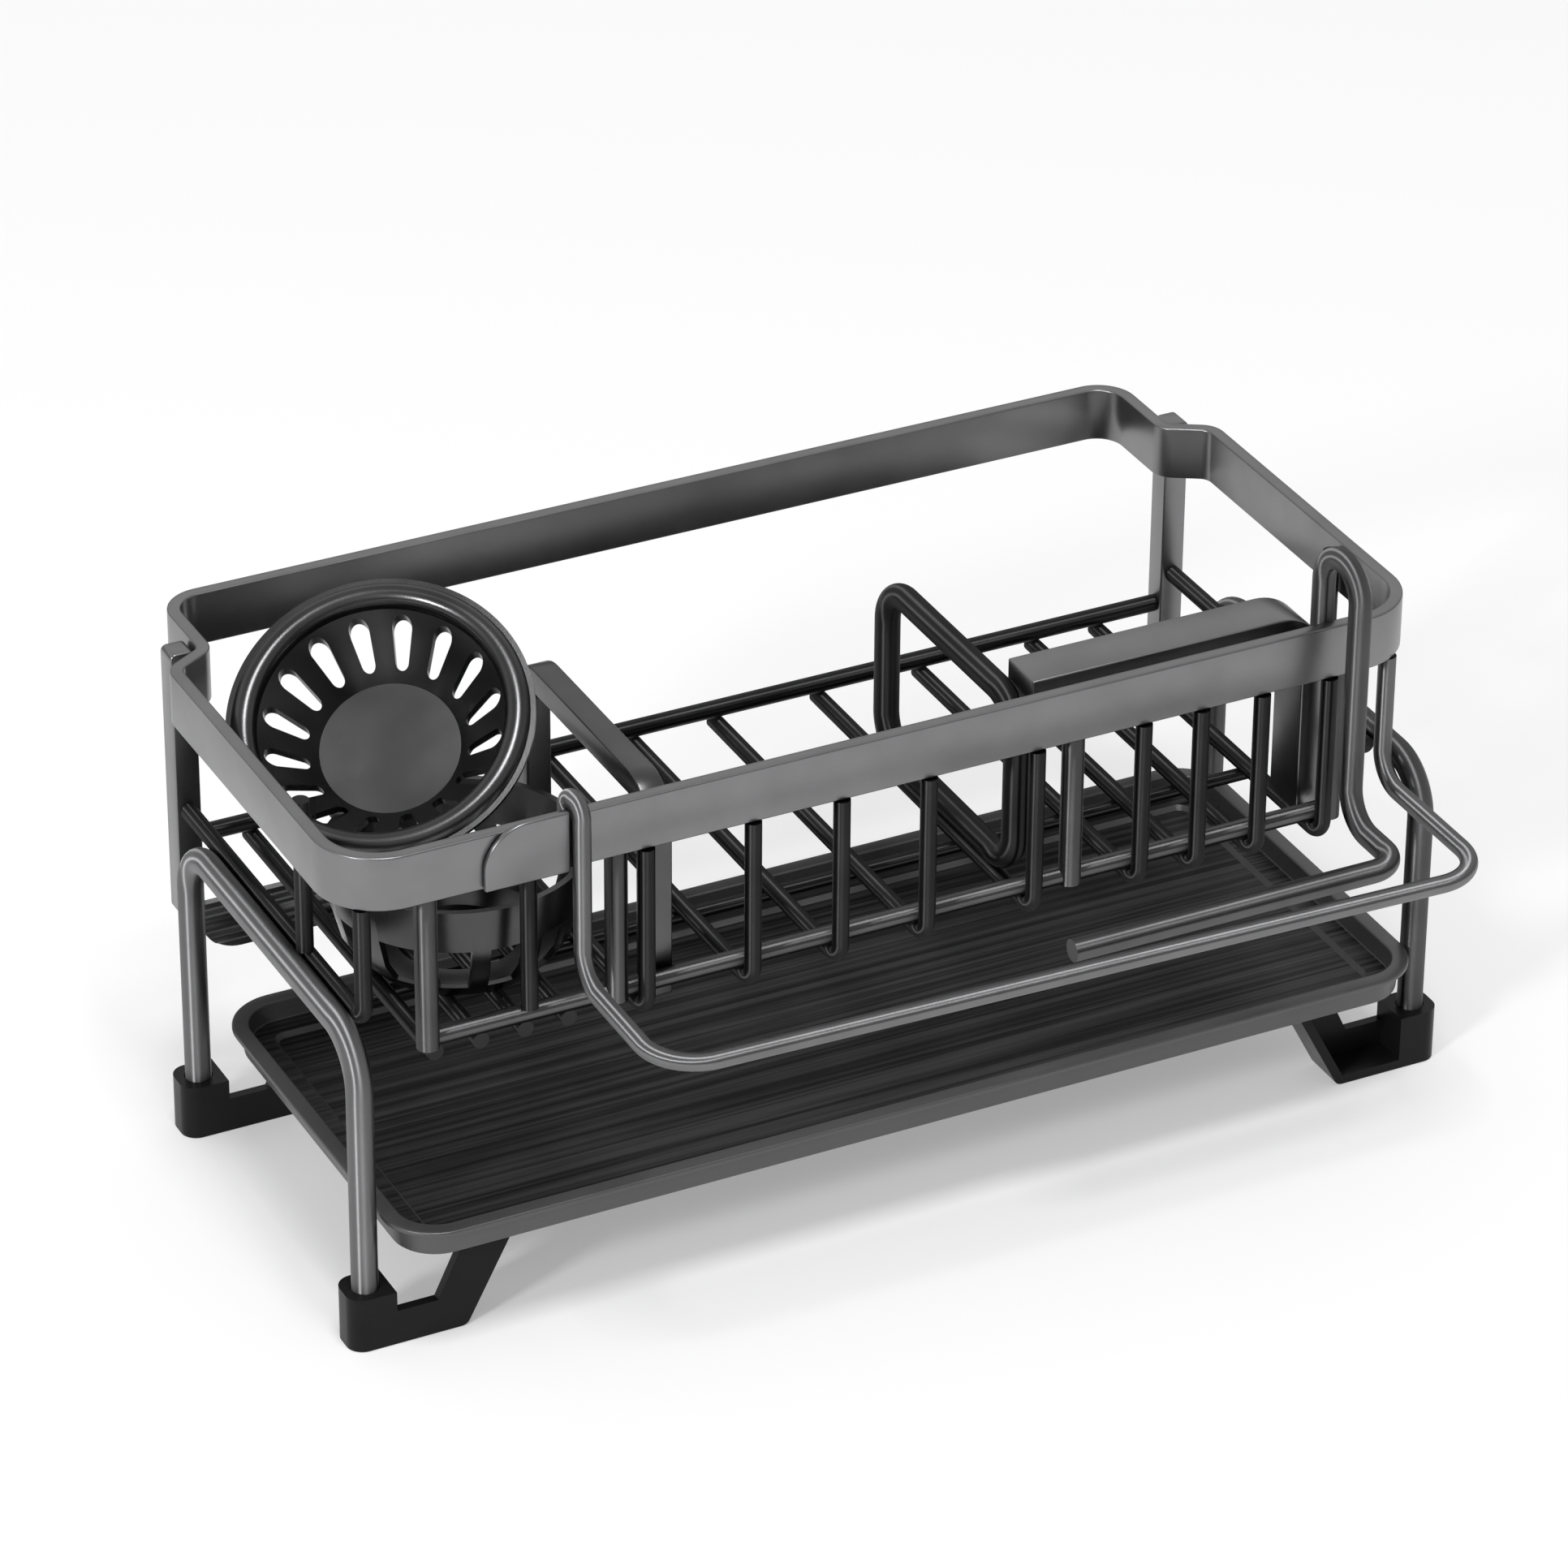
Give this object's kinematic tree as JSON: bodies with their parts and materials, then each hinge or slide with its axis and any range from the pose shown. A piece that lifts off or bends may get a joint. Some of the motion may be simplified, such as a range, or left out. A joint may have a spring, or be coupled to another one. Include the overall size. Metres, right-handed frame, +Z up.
{
  "type": "sink organizer",
  "caption": "Wire sink caddy with flat-band rim on bent-tube side frames, pull-out drip tray, towel bar, lift-out dividers and slotted brush cup.",
  "frame": {"origin": "on the counter under the feet, in the middle of the whole object's box", "axes": "+X along the length to the right as seen from the front, +Y to the back, +Z up"},
  "size_m": [0.3194, 0.2019, 0.1594],
  "materials": {
    "gunmetal_steel": "satin",
    "tray_steel": "satin",
    "foot_plastic": "matte",
    "cup_plastic": "satin"
  },
  "bodies": {
    "stand": {"rim_band": "gunmetal_steel", "side_frame_left": "gunmetal_steel", "side_frame_right": "gunmetal_steel", "foot_front_left": "foot_plastic", "foot_front_right": "foot_plastic", "foot_rear_left": "foot_plastic", "foot_rear_right": "foot_plastic", "side_rod_left": "gunmetal_steel", "side_rod_right": "gunmetal_steel", "side_post_left": "gunmetal_steel", "side_post_right": "gunmetal_steel", "front_frame": "gunmetal_steel", "rear_rod": "gunmetal_steel", "rear_post_left": "gunmetal_steel", "rear_post_right": "gunmetal_steel", "rear_cross_band": "gunmetal_steel", "front_wire_left": "gunmetal_steel", "floor_wire_1": "gunmetal_steel", "floor_wire_2": "gunmetal_steel", "floor_wire_3": "gunmetal_steel", "floor_wire_4": "gunmetal_steel", "floor_wire_5": "gunmetal_steel", "floor_wire_6": "gunmetal_steel", "floor_wire_7": "gunmetal_steel", "floor_wire_8": "gunmetal_steel", "floor_wire_9": "gunmetal_steel", "floor_bar_1": "gunmetal_steel", "floor_bar_2": "gunmetal_steel", "floor_bar_3": "gunmetal_steel", "floor_bar_4": "gunmetal_steel", "cross_rod_front": "gunmetal_steel", "cross_rod_back": "gunmetal_steel", "towel_bar": "gunmetal_steel", "towel_bar_clip": "gunmetal_steel", "hook_arm": "gunmetal_steel"},
    "drip_tray": {"drip_tray": "tray_steel"},
    "left_divider": {"divider_left": "gunmetal_steel"},
    "right_divider": {"divider_right": "gunmetal_steel", "divider_right_band": "gunmetal_steel"},
    "brush_cup": {"cup_basket": "cup_plastic", "cup_dish": "cup_plastic"}
  },
  "joints": [
    {"name": "drip_tray_slide", "type": "slide", "parent": "stand", "child": "drip_tray", "axis": [0, -1, 0], "range_m": [-0.01, 0.09]},
    {"name": "left_divider_lift", "type": "slide", "parent": "stand", "child": "left_divider", "axis": [0, 0, 1], "range_m": [0, 0.07]},
    {"name": "right_divider_lift", "type": "slide", "parent": "stand", "child": "right_divider", "axis": [0, 0, 1], "range_m": [0, 0.07]},
    {"name": "brush_cup_lift", "type": "slide", "parent": "stand", "child": "brush_cup", "axis": [0, 0, 1], "range_m": [0, 0.09]}
  ]
}
